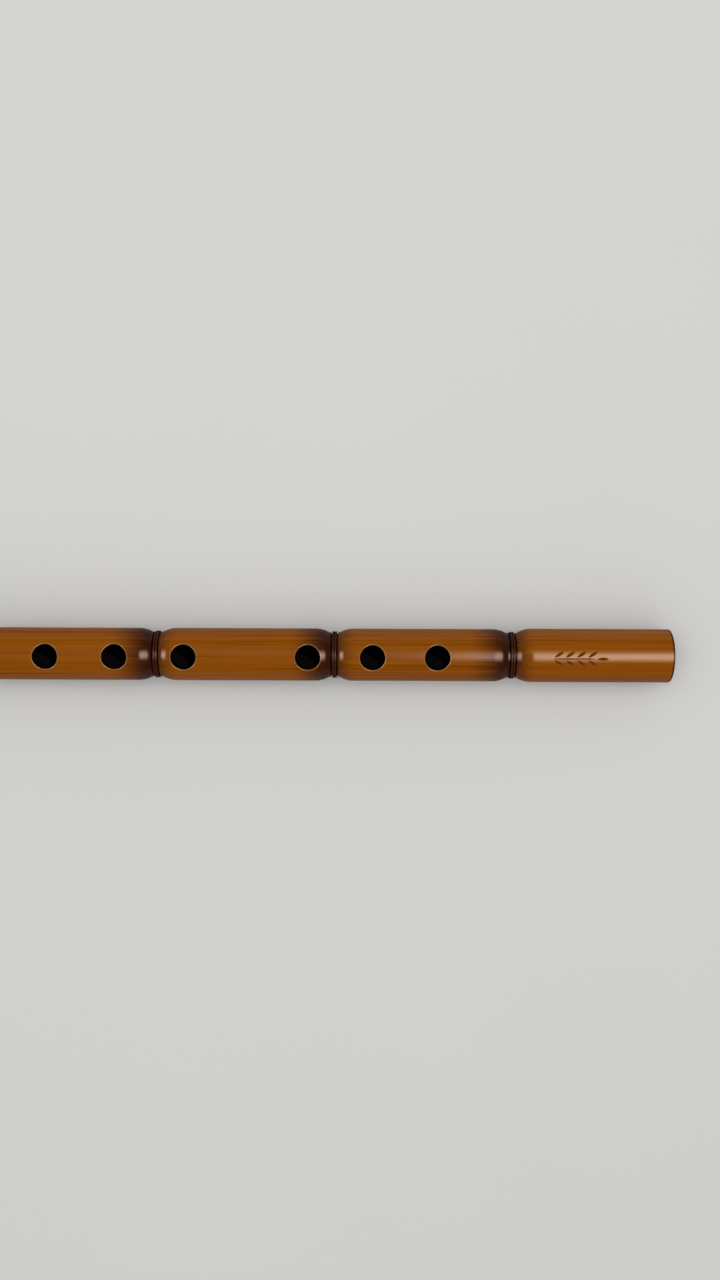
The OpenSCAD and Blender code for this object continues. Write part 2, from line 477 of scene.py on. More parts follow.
def turned(name, profile, segments, paint):
    """A closed shape turned about the bore axis from points (distance from the foot, radius)."""
    mesh = bmesh.new()
    rings = []
    for k in range(segments):
        angle = 2 * math.pi * k / segments
        rings.append([mesh.verts.new((-d, r * math.cos(angle), r * math.sin(angle))) for d, r in profile])
    for k, ring in enumerate(rings):
        after = rings[(k + 1) % segments]
        for i in range(len(profile)):
            j = (i + 1) % len(profile)
            mesh.faces.new((ring[i], ring[j], after[j], after[i])).smooth = True
    for edge in mesh.edges:
        edge.smooth = edge.calc_face_angle(0) < math.radians(28)
    return outward(plain_mesh(name, mesh, paint))


def arc(middle, radius, start, end, steps):
    """Points on an arc round (distance, radius), from one angle to another, in degrees."""
    points = []
    for k in range(steps + 1):
        angle = math.radians(start + (end - start) * k / steps)
        points.append((middle[0] + radius * math.cos(angle), middle[1] + radius * math.sin(angle)))
    return points


# ---------------------------------------------------------------- materials


def material(name):
    """Makes a material out of a function that returns a shader's inputs."""

    def maker(surface):
        def make(s):
            made = bpy.data.materials.new(name)
            made.use_nodes = True
            made.node_tree.nodes.clear()
            tree = Tree(made.node_tree)
            shader = tree.node("ShaderNodeBsdfPrincipled", surface(tree, s))
            tree.shown_by(shader, "ShaderNodeOutputMaterial")
            return made

        return make

    return maker


def object_millimetres(tree):
    """Object coordinates in millimetres, and their parts."""
    place = tree.scaled(tree.node("ShaderNodeTexCoord", out="Object"), 1 / MM)
    return place, tree.parts(place)


def past_node(tree, distance, first, pitch):
    """How far a distance from the foot lies past the nearest node. It is negative on the foot's side."""
    past_first = distance - first
    half = pitch / 2
    wrapped = tree.maths("WRAP", past_first, half, -half)
    foot_side = past_first < 0.0
    return foot_side * past_first + (1 - foot_side) * wrapped


@material("Lacquered cane")
def lacquered_cane(tree, s):
    """Burnt and lacquered cane: long fibres, scorched nodes, a bore darkened with painted shade, charred
    holes darkened further with painted shade, bare cut edges.
    """
    place, (x, y, z) = object_millimetres(tree)
    distance = -x
    radius = tree.root(y * y + z * z)
    sizes = (s.bore_radius, s.foot_radius, s.channel_radius, s.hole_radius, FIRST_NODE, NODE_PITCH)
    bore_radius, foot_radius, channel_radius, hole_radius, first_node, node_pitch = (v / MM for v in sizes)

    # Fibres run along the cane, so the patterns are stretched along the bore axis
    def along(stretch, across):
        return tree.vector(x * stretch, y * across, z * across)

    broad = tree.noise(along(0.006, 0.30), detail=2)
    bands = tree.noise(along(0.009, 0.95), detail=3, roughness=0.6)
    fibres = tree.noise(along(0.022, 3.4), detail=3, roughness=0.65)
    flecks = tree.noise(along(0.10, 5.5), detail=1)

    tone = tree.clamped((bands - 0.5) * 1.5 + (broad - 0.5) * 1.1 + (fibres - 0.5) * 0.8 + 0.5)
    cane = tree.node(
        "ShaderNodeValToRGB",
        (tone,),
        stops=[(0.12, s.dark_colour), (0.42, s.cane_colour), (0.62, s.cane_colour), (0.98, s.pale_colour)],
    )
    dark_lines = tree.eased(fibres, 0.36, 0.27) * 0.55
    cane = tree.mixed(dark_lines, cane, s.dark_colour)

    # Scorching reaches further towards the head than towards the foot, and wanders with the fibres
    to_node = past_node(tree, distance, first_node, node_pitch)
    headwards = to_node > 0.0
    wander = (bands - 0.5) * 7.0 + (fibres - 0.5) * 6.0 + (broad - 0.5) * 4.0
    reach_head = tree.eased(to_node + wander, 21.0, 2.7)
    reach_foot = tree.eased(-to_node + wander * 0.4, 10.5, -2.5)
    scorch = headwards * reach_head + (1 - headwards) * reach_foot
    cane_surface = tree.mixed(scorch, cane, s.scorch_and_shade_colour)

    # The channel beside each binding is painted near-black, as painted shade in the groove; the carved
    # sprig and the foot's rim are painted darker, as painted shade in the carving and on the rounded edge
    in_channel = tree.eased(radius, channel_radius + 0.42, channel_radius + 0.12)
    near_node = tree.eased(abs(to_node), 2.6, 1.9)
    cane_surface = tree.mixed(in_channel * near_node, cane_surface, s.char_and_shade_colour)
    # Painted shade: the floor of the carved sprig is darkened by its depth
    on_foot = tree.eased(distance, first_node - 10, first_node - 12)
    carved = tree.eased(radius, foot_radius - 0.10, foot_radius - 0.30) * on_foot
    clear_of_rim = tree.eased(distance, 2.0, 4.0)
    cane_surface = tree.mixed(carved * clear_of_rim * 0.6, cane_surface, s.carving_shade_colour)
    # Painted shade: a dark line on the foot's rounded edge, in the scorch colour
    rim = tree.eased(distance + (fibres - 0.5) * 0.4, 1.2, 0.75)
    rim = rim * tree.eased(radius, foot_radius - 1.6, foot_radius - 1.1)
    cane_surface = tree.mixed(rim * 0.95, cane_surface, s.scorch_and_shade_colour)

    # The sawn face at the foot shows the ends of the fibres, closer together towards the skin
    on_face = tree.eased(distance, 0.30, 0.15) * (1 - rim)
    ends = tree.noise(tree.vector(y, z, 0.0), 3.2, detail=1)
    crowding = (radius - bore_radius) * 0.035
    grain = tree.mixed(tree.eased(ends + crowding, 0.52, 0.62), s.sawn_colour, s.fibre_end_colour)
    cane_surface = tree.mixed(on_face, cane_surface, grain)

    # Bore: painted shade, near-black deeper in and paler just inside the foot
    inside = tree.eased(radius, bore_radius + 1.6, bore_radius + 0.9)
    mouth = tree.eased(radius, bore_radius + 0.4, bore_radius + 0.1)
    inside = on_face * mouth + (1 - on_face) * inside
    bore = tree.mixed(tree.eased(distance, 9.0, 1.0) * fibres, s.char_and_shade_colour, s.mouth_colour)
    cane_surface = tree.mixed(inside, cane_surface, bore)

    # Finger holes: a bare ring at the eased edge, and charred walls below it, painted near-black as char
    # and painted shade inside the hole
    in_hole = 0.0
    for places, side in ((FINGER_HOLES, 1.0), ((THUMB_HOLE,), -1.0)):
        # Only the side of the cane that these holes open on
        facing = (z * side) > 5.0
        for hole in places:
            off = distance - hole / MM
            from_axis = tree.root(off * off + y * y)
            wall = tree.eased(from_axis, hole_radius + 0.20, hole_radius + 0.06) * facing
            bare = tree.eased(from_axis, hole_radius + 0.62, hole_radius + 0.34) * facing
            cane_surface = tree.mixed(bare * 0.62, cane_surface, s.raw_colour)
            cane_surface = tree.mixed(wall, cane_surface, s.char_and_shade_colour)
            in_hole = wall + in_hole

    # Gloss of the lacquer, with a slight orange peel over the fibres
    peel = tree.noise(place, 1.1, detail=1)
    relief = (bands - 0.5) * 1.3 + (fibres - 0.5) * 0.5 + (flecks - 0.5) * 0.25 + (peel - 0.5) * 0.5
    gloss = tree.eased(bands, 0.2, 0.8, 0.40, 0.50) + inside * 0.35
    return {
        "Base Color": cane_surface,
        "Roughness": gloss,
        "Specular IOR Level": 0.0,
        "Coat Weight": 1 - tree.clamped(inside + in_hole),
        "Coat Roughness": 0.13,
        "Coat IOR": 1.5,
        "Normal": tree.bump(0.6, 0.05, relief),
    }


@material("Lacquered cord")
def lacquered_cord(tree, s):
    """Twisted cord under dark lacquer."""
    place, _ = object_millimetres(tree)
    hairs = tree.noise(place, 4.0, detail=3)
    tone = tree.eased(hairs, 0.3, 0.75)
    base = tree.mixed(tone, s.cord_colour, tuple(channel * 1.6 for channel in s.cord_colour))
    return {
        "Base Color": base,
        "Roughness": 0.4,
        "Specular IOR Level": 0.0,
        "Coat Weight": 1.0,
        "Coat Roughness": 0.16,
        "Normal": tree.bump(0.4, 0.04, hairs),
    }


@material("Turned brass")
def turned_brass(tree, s):
    """Brass with fine turning lines and a little tarnish."""
    place, (x, y, z) = object_millimetres(tree)
    lines = tree.noise(tree.vector(x * 14.0, y * 0.05, z * 0.05), detail=2)
    blotches = tree.noise(place, 0.18, detail=3)
    radius = tree.root(y * y + z * z)
    low = tree.eased(radius, 12.35, 12.05)
    dull = tree.clamped(tree.eased(blotches, 0.40, 0.75) * 0.40 + low * 0.25)
    base = tree.mixed(dull, s.brass_colour, s.tarnish_colour)
    return {
        "Base Color": base,
        "Metallic": 1 - dull * 0.25,
        "Roughness": tree.eased(blotches, 0.3, 0.8, 0.27, 0.37) + (lines - 0.5) * 0.1,
        "Normal": tree.bump(0.12, 0.02, lines),
    }


@material("Waxed thread")
def waxed_thread(tree, s):
    """Waxed thread, darker where it is handled."""
    place, _ = object_millimetres(tree)
    fluff = tree.noise(place, 6.0, detail=3)
    grime = tree.noise(place, 0.5, detail=3)
    tone = tree.clamped(fluff * 0.6 + grime * 0.6 - 0.1)
    base = tree.mixed(tone, tuple(channel * 0.45 for channel in s.thread_colour), s.thread_colour)
    return {"Base Color": base, "Roughness": 0.62, "Normal": tree.bump(0.5, 0.05, fluff)}


@material("Polished horn")
def polished_horn(tree, s):
    """Dark polished horn: pale streaks along the grain, fine pores, and wear on the rim."""
    place, (x, y, z) = object_millimetres(tree)
    radius = tree.root(y * y + z * z)
    drift = tree.noise(tree.vector(x * 0.05, y * 0.12, z * 0.12), detail=2)
    streaks = tree.noise(
        tree.vector(x * 0.07 + drift * 2.5, y * 0.75 + drift * 1.5, z * 0.30), detail=5, roughness=0.62
    )
    grain = tree.noise(tree.vector(x * 0.3, y * 5.0, z * 5.0), detail=2)
    pale = tree.clamped(tree.eased(streaks, 0.50, 0.74) + (grain - 0.5) * 0.25)
    base = tree.mixed(pale * 0.62, s.horn_colour, s.streak_colour)
    touched = tree.noise(place, 0.8, detail=3)
    rim = tree.eased(radius, 14.2, 15.3) * tree.eased(touched, 0.35, 0.65)
    base = tree.mixed(rim * 0.5, base, s.streak_colour)
    # Painted shade: inside the throat the pale streaks give way to the dark horn
    in_throat = tree.eased(radius, 7.9, 7.2)
    base = tree.mixed(in_throat * 0.8, base, s.horn_colour)
    lines = tree.noise(tree.vector(x * 6.0, y * 0.04, z * 0.04), detail=1)
    pores = tree.eased(grain, 0.34, 0.26)
    relief = lines * 0.6 - pores * 0.5
    return {
        "Base Color": base,
        "Roughness": tree.eased(touched, 0.3, 0.7, 0.30, 0.42) + rim * 0.1,
        "Specular IOR Level": 0.25,
        "Coat Weight": 0.85 - in_throat * 0.5,
        "Coat Roughness": 0.10,
        "Normal": tree.bump(0.3, 0.03, relief),
    }


@material("Pale table")
def pale_floor(tree, s):
    """A pale, very slightly mottled table top."""
    place, _ = object_millimetres(tree)
    clouds = tree.noise(place, 0.006, detail=2)
    base = tree.mixed(clouds, tuple(channel * 0.97 for channel in s.floor_colour), s.floor_colour)
    return {"Base Color": base, "Roughness": 0.7, "Specular IOR Level": 0.0}


# ---------------------------------------------------------------- cane


# The skins run this far past both ends of the cane, where they close on the bore
SLIVER = 0.002 * MM
SHOULDER_RINGS, BARREL_RINGS, FOOT_RINGS, SEAT_RINGS, BORE_RINGS = 12, 250, 12, 8, 22
MERGE_DISTANCE = 0.001 * MM


def node_offset(tree, distance):
    """Signed distance to the nearest node, positive towards the head."""
    return past_node(tree, distance, tree["First node"], tree["Node pitch"])


def shoulder_run(tree, radius):
    """Length along the axis of a shoulder that leaves a barrel of some radius."""
    drop = radius - tree["Waist radius"]
    return tree.root(2 * tree["Shoulder radius"] * drop - drop * drop)


def outer_radius(tree, distance):
    """The cane's outer radius: barrels, shoulders, waists, channels, foot rounding and ferrule seat."""
    offset = abs(node_offset(tree, distance))
    on_foot = distance < tree["First node"]
    barrel = tree["Barrel radius"] + on_foot * (tree["Foot radius"] - tree["Barrel radius"])
    run = shoulder_run(tree, barrel)
    into = tree.clamped(tree["Waist length"] / 2 + run - offset, 0.0, run)
    shoulder = tree["Shoulder radius"]
    radius = barrel - (shoulder - tree.root(shoulder * shoulder - into * into))
    in_channel = offset < (tree["Channel length"] / 2 - 0.01 * MM)
    radius = radius + in_channel * (tree["Channel radius"] - radius)
    rounding = tree["Foot round"]
    into_foot = tree.clamped(rounding - distance, 0.0, rounding)
    radius = radius - (rounding - tree.root(rounding * rounding - into_foot * into_foot))
    in_seat = distance > tree["Ferrule start"]
    radius = radius + in_seat * (tree["Ferrule seat"] - radius)
    past_ends = (distance < -SLIVER / 2) + (distance > tree["Cane length"] + SLIVER / 2)
    return radius + past_ends * (tree["Bore radius"] - radius)


def inner_radius(tree, distance):
    """The bore's radius, with a tapered ledge at each node."""
    offset = abs(node_offset(tree, distance))
    rise = tree.maths("MAXIMUM", offset - tree["Ledge length"] / 2, 0.0)
    return tree.maths("MINIMUM", tree["Bore radius"], tree["Ledge radius"] + rise)


def both_sides(tree, *lines):
    """Points on both sides of a node, copied to every node."""
    half = tree.join(*lines)
    whole = tree.join(half, tree.placed(half, scale=(-1.0, 1.0, 1.0)))
    first, pitch = tree.vector(-tree["First node"]), tree.vector(-tree["Node pitch"])
    nodes = tree.row(tree["Node count"], first, pitch)
    return tree.real(tree.copies(nodes, whole))


def turned_skin(tree, points, radius_at):
    """The skin that a run of points on the axis makes when a radius rule turns it."""
    x = tree.here()[0]
    curve = tree.curve_through(points, -x)
    ring = tree.circle(tree["Segments"])
    return tree.swept(curve, ring, scale=radius_at(tree, -x))


def outer_points(tree):
    """Where the outer skin has its rings: close together at the nodes and edges, wider on the barrels."""
    run = shoulder_run(tree, tree["Foot radius"])
    half_waist = tree["Waist length"] / 2
    half_channel = tree["Channel length"] / 2
    zone = half_waist + run
    nodes = both_sides(
        tree,
        tree.line(3, 0.15 * MM, half_channel - 0.02 * MM),
        tree.line(3, half_channel, half_waist - 0.1 * MM),
        tree.line(SHOULDER_RINGS, half_waist, zone),
    )
    barrels = tree.line(BARREL_RINGS, tree["Foot round"], tree["Ferrule start"])
    x = tree.here()[0]
    near_node = abs(node_offset(tree, -x)) < zone + 0.4 * MM
    barrels = tree.without(barrels, near_node)
    rounding = tree["Foot round"]
    turn = tree.index() * (math.pi / 2 / FOOT_RINGS)
    at = tree.vector(rounding * (tree.maths("COSINE", turn) - 1))
    edge = tree.moved(tree.line(FOOT_RINGS, 0.0, rounding), position=at)
    head = tree.line(SEAT_RINGS, tree["Ferrule start"] + 0.02 * MM, tree["Cane length"])
    ends = tree.line(2, -SLIVER, tree["Cane length"] + SLIVER)
    return tree.join(nodes, barrels, edge, head, ends)


def inner_points(tree):
    """Where the bore has its rings: at the ledges, along the segments and at both ends."""
    half_ledge = tree["Ledge length"] / 2
    rise = tree["Bore radius"] - tree["Ledge radius"]
    flat = tree.line(2, half_ledge / 2, half_ledge)
    ledges = both_sides(tree, flat, tree.line(2, half_ledge + rise / 2, half_ledge + rise))
    x = tree.here()[0]
    walls = tree.line(BORE_RINGS, 4 * MM, tree["Cane length"] - 4 * MM)
    near_node = abs(node_offset(tree, -x)) < half_ledge + rise + 1 * MM
    walls = tree.without(walls, near_node)
    ends = tree.line(2, -SLIVER, tree["Cane length"] + SLIVER)
    return tree.join(ledges, walls, ends)


def hole_cutters(tree):
    """One cutter for each finger hole and the thumb hole, with an eased edge that follows the cane."""
    steps, rounding = 10, math.radians(60)
    foot_height, overshoot_mm, widening_mm = 4 * MM, 1.2, 2.0
    edge = tree["Hole edge"]
    surface = tree["Barrel radius"]
    index = tree.index()
    turn = tree.clamped((index - 1) / steps) * rounding
    below = index < 0.5
    above = index > steps + 1.5
    height = edge * (tree.maths("SINE", turn) - 1)
    height = height - below * (surface - foot_height) + above * overshoot_mm * MM
    radius = tree["Hole radius"] + edge * (1 - tree.maths("COSINE", turn)) + above * widening_mm * MM
    stem = tree.moved(tree.line(steps + 3, 0.0, 1.0), position=tree.vector(0.0, 0.0, height))
    x, y, z = tree.here()
    cutter = tree.swept(tree.curve_through(stem, index), tree.circle(80), scale=radius, caps=True)
    follow = tree.root(surface * surface - y * y)
    cutter = tree.moved(cutter, position=tree.vector(x, y, z + follow))
    rows = []
    for row in ("Lower", "Upper"):
        places = tree.row(3, tree.vector(-tree[f"{row} row"]), tree.vector(-tree[f"{row} step"]))
        rows.append(tree.copies(places, cutter))
    at = tree.vector(-tree["Thumb hole"])
    thumb = tree.placed(cutter, rotation=(math.pi, 0.0, 0.0), translation=at)
    return tree.real(tree.join(*rows, thumb))


def groove(tree, length, half_width, depth, power):
    """A long pointed cutter from the origin along +X, as a gouge leaves it."""
    ends = {"Start": (0.0, 0.0, 0.0), "End": tree.vector(length)}
    along = tree.node("GeometryNodeCurvePrimitiveLine", ends)
    along = tree.node("GeometryNodeResampleCurve", {"Curve": along, "Count": 17})
    factor = tree.node("GeometryNodeSplineParameter")
    taper = 1.02 - abs(factor * 2 - 1) ** power
    cutter = tree.swept(along, tree.circle(4), scale=taper * half_width, caps=True)
    return tree.placed(cutter, scale=tree.vector(1.0, 1.0, depth / half_width))


def sprig_cutters(tree):
    """The carved sprig: a stem, pairs of leaves and one at the tip, laid on the foot segment."""
    pairs = 4
    leaf_length = tree["Leaf length"]
    half_leaf = leaf_length * 0.13
    half_stem = leaf_length * 0.05
    depth = tree["Carving depth"]
    stalk = 1 * MM
    leaf_lean = math.radians(33)
    stem_length = tree["Sprig length"] - leaf_length
    step = stem_length / pairs
    stem = groove(tree, stem_length - 0.2 * MM, half_stem, depth * 0.7, 8.0)
    leaf = groove(tree, leaf_length - 0.3 * MM, half_leaf, depth * 0.92, 2.0)
    parts = [stem, tree.placed(leaf, translation=tree.vector(stem_length + 0.1 * MM))]
    for side in (-1, 1):
        stalks = tree.row(pairs, tree.vector(stalk, side * half_stem * 1.9), tree.vector(step))
        parts.append(tree.copies(stalks, leaf, rotation=(0.0, 0.0, side * leaf_lean)))
    sprig = tree.real(tree.join(*parts))
    sprig = tree.placed(sprig, translation=tree.vector(-(tree["Sprig start"] + tree["Sprig length"])))
    x, y, z = tree.here()
    foot = tree["Foot radius"]
    return tree.moved(sprig, position=tree.vector(x, y, z + tree.root(foot * foot - y * y)))


def cut(tree, shape, cutters):
    """The shape with the cutters taken out of it."""
    meshes = {"Mesh 1": shape, "Mesh 2": cutters}
    return tree.node("GeometryNodeMeshBoolean", meshes, operation="DIFFERENCE", solver="MANIFOLD")


def uneven(tree, geometry):
    """The hand-worked cane: each barrel strays a little from round, and the nodes stay true."""
    x, y, z = tree.here()
    radius = tree.root(y * y + z * z)
    offset = abs(node_offset(tree, -x))
    free = tree.eased(offset, 4 * MM, 16 * MM) * tree.eased(-x, 1 * MM, 6 * MM)
    free = free * tree.eased(-x, tree["Ferrule start"], tree["Ferrule start"] - 6 * MM)
    outside = radius > tree["Bore radius"] + 0.5 * MM
    stretch, across, balance = 22.0, 90.0, 0.62
    lumps = tree.noise(tree.vector(x * stretch, y * across, z * across), detail=1) - balance
    push = lumps * tree["Unevenness"] * free * outside
    outwards = tree.node("ShaderNodeVectorMath", (tree.vector(0.0, y, z),), operation="NORMALIZE")
    return tree.moved(geometry, offset=tree.scaled(outwards, push))


def build_cane(s):
    """The cane as one closed mesh."""
    sizes = chosen(s)
    sizes |= {
        "Cane length": CANE_LENGTH,
        "First node": FIRST_NODE,
        "Node pitch": NODE_PITCH,
        "Node count": len(NODE_DISTANCES),
        "Ferrule start": FERRULE_START,
        "Lower row": FINGER_HOLES[0],
        "Lower step": FINGER_HOLES[1] - FINGER_HOLES[0],
        "Upper row": FINGER_HOLES[3],
        "Upper step": FINGER_HOLES[4] - FINGER_HOLES[3],
        "Thumb hole": THUMB_HOLE,
        "Material": lacquered_cane(s),
    }
    tree = GeometryTree("Cane tube", sizes)
    outside = turned_skin(tree, outer_points(tree), outer_radius)
    bore = turned_skin(tree, inner_points(tree), inner_radius)
    bore = tree.node("GeometryNodeFlipFaces", (bore,))
    skins = {"Geometry": tree.join(outside, bore), "Distance": MERGE_DISTANCE}
    tube = tree.node("GeometryNodeMergeByDistance", skins)
    tube = cut(tree, tube, hole_cutters(tree))
    tube = cut(tree, tube, sprig_cutters(tree))
    tree.finished(uneven(tree, tube), crease=math.radians(12))
    return outward(tree.grown("lacquered_cane"))


# ---------------------------------------------------------------- bindings and lapping


def build_binding(s, name, distance, paint, number):
    """One node binding: turns of cord side by side, each crossing to the next on the thumb's side."""
    sizes = chosen(s)
    start_angle = 0.35 * math.sin(number * 2.4)  # so that no two windings start alike
    sizes |= {"Distance": distance, "Start angle": start_angle, "Material": paint}
    tree = GeometryTree(name, sizes)
    steps = 97
    crossing_part, tuck_part, lobe_depth = 0.07, 0.09, 0.035
    turns = tree["Turns"]
    line = tree.line(turns * (steps - 1) + 1, 0.0, 1.0)
    turn = tree.index() / (steps - 1)
    whole = tree.maths("ROUND", turn)
    crossing = tree.eased(turn - whole, -crossing_part, crossing_part)
    side = (tree.clamped(whole - 1 + crossing, 0.0, turns - 1) - (turns - 1) / 2) * tree["Turn pitch"]
    near_end = tree.maths("MINIMUM", turn, turns - turn)
    tucked = tree.eased(near_end, tuck_part, 0.0)
    radius = tree["Winding radius"] - tucked * tree["Cord radius"] * 0.8
    angle = turn * (2 * math.pi) + tree["Start angle"]
    y, z = -radius * tree.maths("SINE", angle), -radius * tree.maths("COSINE", angle)
    around = tree.vector(-(tree["Distance"] + side), y, z)
    winding = tree.curve_through(tree.moved(line, position=around), tree.index())
    length = tree.node("GeometryNodeSplineParameter", out="Length")
    twist = length * (2 * math.pi) / tree["Lay"]
    winding = tree.node("GeometryNodeSetCurveTilt", {"Curve": winding, "Tilt": twist})
    section = tree.circle(18)
    x, y, z = tree.here()
    lobe = tree.maths("COSINE", tree.maths("ARCTAN2", y, x) * tree["Strands"])
    lobed = tree.scaled(tree.position(), 1 - lobe_depth + lobe * lobe_depth)
    section = tree.moved(section, position=lobed)
    cord = tree.swept(winding, section, scale=tree["Cord radius"] * (1 - tucked * 0.6), caps=True)
    tree.finished(cord, crease=math.radians(60))
    return outward(tree.grown(name))


def build_lapping(s, paint):
    """The lapping: a close winding of thread over a thin sleeve of wax and thread."""
    sizes = chosen(s, "thread_radius", "lapping_radius", "tenon_radius")
    sizes |= {"Start": LAPPING_START, "End": LAPPING_END, "Material": paint}
    tree = GeometryTree("Lapping", sizes)
    thread = tree["Thread radius"]
    first = tree["Start"] + thread
    run = tree["End"] - tree["Start"] - thread * 2
    turns = tree.maths("FLOOR", run / (thread * 2))
    steps = 44
    line = tree.line(turns * steps + 1, 0.0, 1.0)
    turn = tree.index() / steps
    angle = turn * (2 * math.pi)
    centre = tree["Lapping radius"] - thread
    y, z = centre * tree.maths("SINE", angle), -centre * tree.maths("COSINE", angle)
    around = tree.vector(-(first + run * turn / turns), y, z)
    winding = tree.curve_through(tree.moved(line, position=around), tree.index())
    cord = tree.swept(winding, tree.circle(7), scale=thread, caps=True)
    inner = tree["Tenon radius"] + 0.03 * MM
    wall = centre - inner
    section = {"Width": wall, "Height": tree["End"] - tree["Start"] - 0.2 * MM}
    section = tree.node("GeometryNodeCurvePrimitiveQuadrilateral", section)
    sleeve = tree.swept(tree.circle(72, inner + wall / 2), section)
    middle = tree.vector(-(tree["Start"] + tree["End"]) / 2)
    sleeve = tree.placed(sleeve, translation=middle, rotation=(0.0, math.pi / 2, 0.0))
    tree.finished(tree.join(cord, sleeve), crease=math.radians(60))
    return outward(tree.grown("thread_lapping"))


# ---------------------------------------------------------------- head


def build_ferrule(paint):
    """The ferrule: a turned tube with a bead and a fine line near each edge."""
    bead = 0.35 * MM
    wall = 0.78 * MM
    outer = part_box("head_ferrule")[1].z - bead
    inner = outer - wall
    ease = 0.12 * MM
    start, end = FERRULE_START + 0.005 * MM, FERRULE_END - 0.005 * MM
    inset = 1.6 * MM
    line = 0.09 * MM
    edge = [(0.0, outer - ease), (ease * 0.4, outer - ease * 0.35), (ease, outer)]
    profile = [(start, inner)] + [(start + d, r) for d, r in edge]
    for at, side in ((start + inset, 1), (end - inset, -1)):
        for k in range(13):
            angle = math.pi * k / 12
            profile.append((at - bead * 0.98 * math.cos(angle), outer + bead * 0.96 * math.sin(angle)))
        if side > 0:
            middle = (start + end) / 2
            lines = (at + 1.3 * MM, middle - 0.7 * MM, middle, middle + 0.7 * MM, end - inset - 1.3 * MM)
            for centre in lines:
                profile += [(centre - line, outer), (centre, outer - line), (centre + line, outer)]
    profile += [(end - d, r) for d, r in reversed(edge)] + [(end, inner)]
    return turned("ferrule", profile, 128, paint)


def build_mouthpiece(s, paint):
    """The mouthpiece: tenon, collar, neck, flare, rounded rim, cone, lip and tapered throat."""
    throat, collar, waist = 6.2 * MM, 8.15 * MM, s.tenon_radius
    seat = CANE_LENGTH + 0.1 * MM
    cane = 11.55 * MM
    neck = seat + 3 * MM
    rim, rim_at, round_r = 15.3 * MM, seat + 15.5 * MM, 2.4 * MM
    slack = 0.1 * MM
    # Tenon, with a waist for the lapping
    profile = [(TENON_END, throat + 0.3 * MM), (TENON_END, collar - 0.35 * MM)]
    profile += [(TENON_END + 0.35 * MM, collar)]
    profile += [(LAPPING_START - slack, collar), (LAPPING_START - slack, waist)]
    profile += [(LAPPING_END + slack, waist), (LAPPING_END + slack, collar), (seat, collar)]
    # Shoulder that meets the cane, with two turned lines
    profile += [(seat, cane - 0.5 * MM)]
    profile += arc((seat + 0.5 * MM, cane - 0.5 * MM), 0.5 * MM, 165, 90, 5)
    profile += [(seat + 1.15 * MM, cane), (seat + 1.3 * MM, cane - 0.18 * MM), (seat + 1.45 * MM, cane)]
    profile += [(seat + 2.45 * MM, cane), (seat + 2.6 * MM, cane - 0.06 * MM)]
    # Flare and rounded rim
    steps = 34
    for k in range(steps + 1):
        part = k / steps
        flare = cane - 0.4 * MM + (rim - cane + 0.4 * MM) * part**2.2
        profile.append((neck + part * (rim_at - neck), flare))
    for k in range(1, 15):
        angle = math.radians(72 * k / 14)
        profile.append((rim_at + round_r * math.sin(angle), rim - round_r * (1 - math.cos(angle))))
    lip, lip_land = 7.8 * MM, 0.6 * MM
    cone = list(zip(profile[-1], (LIP, lip + lip_land)))

    def on_cone(*parts):
        return [tuple(a + (b - a) * part for a, b in cone) for part in parts]

    # Cone with a turned line halfway, then the lip and the throat
    line_at, line_radius = on_cone(0.5)[0]
    profile += on_cone(0.3, 0.48) + [(line_at - 0.02 * MM, line_radius - 0.16 * MM)]
    profile += on_cone(0.52, 0.8, 0.97)
    profile += [(LIP - 0.02 * MM, lip + 0.42 * MM), (LIP, lip + 0.28 * MM)]
    profile += [(LIP - 0.03 * MM, lip + 0.1 * MM), (LIP - 0.2 * MM, lip)]
    profile += [(LIP - 5.5 * MM, (lip + throat) / 2), (LIP - 11 * MM, throat)]
    profile += [(TENON_END + 0.3 * MM, throat)]
    return turned("mouthpiece_cup", profile, 144, paint)


# ---------------------------------------------------------------- stage


def build_floor(s):
    """The table top. It touches the foot and the mouthpiece's rim, as a flute that lies on it does."""
    foot_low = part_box("cane_tube")[0].z
    rim_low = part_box("mouthpiece")[0].z
    rim_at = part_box("mouthpiece")[1].x - 34 * MM
    slope = (foot_low - rim_low) / -rim_at
    steps, reach, middle = 12, 12.0, -0.35
    mesh = bmesh.new()
    grid = []
    for i in range(steps + 1):
        x = middle + reach * (2 * i / steps - 1)
        row = [(x, reach * (2 * j / steps - 1), foot_low + slope * x) for j in range(steps + 1)]
        grid.append([mesh.verts.new(corner) for corner in row])
    for i in range(steps):
        for j in range(steps):
            mesh.faces.new((grid[i][j], grid[i + 1][j], grid[i + 1][j + 1], grid[i][j + 1]))
    table = plain_mesh("table_top", mesh, pale_floor(s))
    table.visible_glossy = False


def facing_axes(back):
    """The axes of something that looks along -back, with its width across the flute's length."""
    side = Vector((0.0, 1.0, 0.0)).cross(back).normalized()
    return Matrix((side, back.cross(side), back)).transposed()


def soft_light(name, power, size, place, target, tint, for_gloss):
    """A rectangular light that fades towards its edges. It makes either the highlights or the rest."""
    data = bpy.data.lights.new(name, "AREA")
    data.shape = "RECTANGLE"
    data.energy = power
    data.size, data.size_y = size
    data.color = tint
    data.use_nodes = True
    data.node_tree.nodes.clear()
    tree = Tree(data.node_tree)
    across, along, _ = tree.parts(tree.node("ShaderNodeNewGeometry", out="Parametric"))
    fade = tree.eased(abs(across - 0.5), 0.5, 0.25)
    fade = tree.eased(abs(along - 0.5), 0.5, 0.0) * fade
    tree.shown_by(tree.node("ShaderNodeEmission", {"Strength": fade}), "ShaderNodeOutputLight")
    lamp = shown(name, data)
    lamp.location = place
    lamp.rotation_euler = facing_axes((place - target).normalized()).to_euler()
    lamp.visible_glossy = for_gloss
    lamp.visible_diffuse = not for_gloss
    lamp.visible_camera = False


